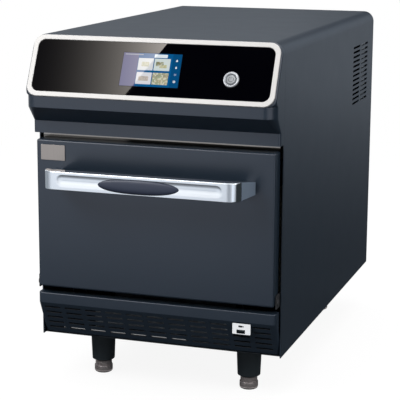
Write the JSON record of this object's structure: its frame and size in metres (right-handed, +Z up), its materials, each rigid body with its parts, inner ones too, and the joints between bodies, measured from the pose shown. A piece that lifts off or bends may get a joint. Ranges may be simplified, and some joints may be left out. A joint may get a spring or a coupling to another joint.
{
  "type": "speed oven",
  "caption": "Countertop speed oven: hooded touch controls over a drop-down door with a bar handle, vented lower panel, hot-air and microwave systems, on levelling legs.",
  "frame": {"origin": "on the worktop, under the middle of the oven's bounding box", "axes": "+Z up, the door faces -Y, +X to the right of someone facing the door"},
  "size_m": [0.404, 0.7512, 0.574],
  "materials": {
    "anthracite_paint": "semi-gloss powder coat",
    "black_glass": "black backed, polished",
    "black_plastic": "moulded",
    "brushed_aluminium": "brushed and clear anodised",
    "circuit_board": "solder mask",
    "cream_ceramic": "fired, satin",
    "dark_rubber": "matte",
    "enamelled_copper": "varnished",
    "galvanised_steel": "zinc coated",
    "laminated_iron": "painted laminations",
    "mineral_wool": "felted",
    "satin_chrome": "satin chrome plate",
    "screen_glass": "polished over a lit screen",
    "stainless_steel": "satin"
  },
  "bodies": {
    "oven": {"outer_casing": "anthracite_paint", "base_pan": "galvanised_steel", "rear_panel": "anthracite_paint", "cable_gland": "black_plastic", "leg_cup_front_left": "black_plastic", "leg_cup_front_right": "black_plastic", "leg_cup_rear_left": "black_plastic", "leg_cup_rear_right": "black_plastic", "cavity_support_left": "galvanised_steel", "cavity_support_right": "galvanised_steel", "control_hood": "anthracite_paint", "bezel_frame": "brushed_aluminium", "glass_panel": "black_glass", "display_module": "screen_glass", "control_board": "circuit_board", "button_ring": "satin_chrome", "button_nut": "stainless_steel", "hinge_bracket_left": "stainless_steel", "hinge_bracket_right": "stainless_steel", "latch_housing_left": "black_plastic", "latch_housing_right": "black_plastic", "lower_grille": "anthracite_paint", "data_port": "black_plastic", "air_filter": "galvanised_steel", "front_frame": "stainless_steel", "cavity_liner": "stainless_steel", "cavity_insulation": "mineral_wool", "jet_plate": "stainless_steel", "return_grille": "stainless_steel", "ceramic_floor": "cream_ceramic", "rack_rail_left": "stainless_steel", "rack_rail_right": "stainless_steel", "wire_rack": "stainless_steel", "blower_motor": "laminated_iron", "tubular_heater": "laminated_iron", "wave_box": "stainless_steel", "waveguide": "stainless_steel", "magnetron": "galvanised_steel", "stirrer_motor": "galvanised_steel", "hv_transformer": "enamelled_copper", "hv_capacitor": "galvanised_steel", "fan_frame": "black_plastic", "line_filter": "galvanised_steel", "power_board": "circuit_board"},
    "door": {"door_skin": "anthracite_paint", "door_liner": "stainless_steel", "door_gasket": "dark_rubber", "hinge_block_left": "stainless_steel", "hinge_block_right": "stainless_steel", "badge_plate": "stainless_steel", "door_handle": "satin_chrome", "handle_grip": "dark_rubber"},
    "button": {"power_button": "satin_chrome"},
    "blower": {"blower_wheel": "stainless_steel"},
    "fan": {"fan_rotor": "black_plastic"},
    "stirrer": {"stirrer_blade": "stainless_steel"},
    "foot_front_left": {"leg_foot_front_left": "stainless_steel"},
    "foot_front_right": {"leg_foot_front_right": "stainless_steel"},
    "foot_rear_left": {"leg_foot_rear_left": "stainless_steel"},
    "foot_rear_right": {"leg_foot_rear_right": "stainless_steel"}
  },
  "joints": [
    {"name": "door_hinge", "type": "hinge", "parent": "oven", "child": "door", "pos_m": [0, -0.2944, 0.175], "axis": [1, 0, 0], "range_deg": [0, 90], "stiffness_Nm_per_rad": 2, "springref_deg": -45.84},
    {"name": "power_button_press", "type": "slide", "parent": "oven", "child": "button", "axis": [0, 0.8988, -0.4384], "range_m": [0, 0.0025], "stiffness_N_per_m": 600, "springref_m": -0.001},
    {"name": "blower_spin", "type": "hinge", "parent": "oven", "child": "blower", "pos_m": [0, 0.0616, 0.284], "axis": [0, 1, 0], "continuous": true},
    {"name": "cooling_fan_spin", "type": "hinge", "parent": "oven", "child": "fan", "pos_m": [-0.09, 0.3396, 0.352], "axis": [0, 1, 0], "continuous": true},
    {"name": "stirrer_spin", "type": "hinge", "parent": "oven", "child": "stirrer", "pos_m": [0, -0.1024, 0.162], "axis": [0, 0, 1], "continuous": true},
    {"name": "foot_level_front_left", "type": "slide", "parent": "oven", "child": "foot_front_left", "axis": [0, 0, -1], "range_m": [0, 0.015]},
    {"name": "foot_level_front_right", "type": "slide", "parent": "oven", "child": "foot_front_right", "axis": [0, 0, -1], "range_m": [0, 0.015]},
    {"name": "foot_level_rear_left", "type": "slide", "parent": "oven", "child": "foot_rear_left", "axis": [0, 0, -1], "range_m": [0, 0.015]},
    {"name": "foot_level_rear_right", "type": "slide", "parent": "oven", "child": "foot_rear_right", "axis": [0, 0, -1], "range_m": [0, 0.015]}
  ]
}
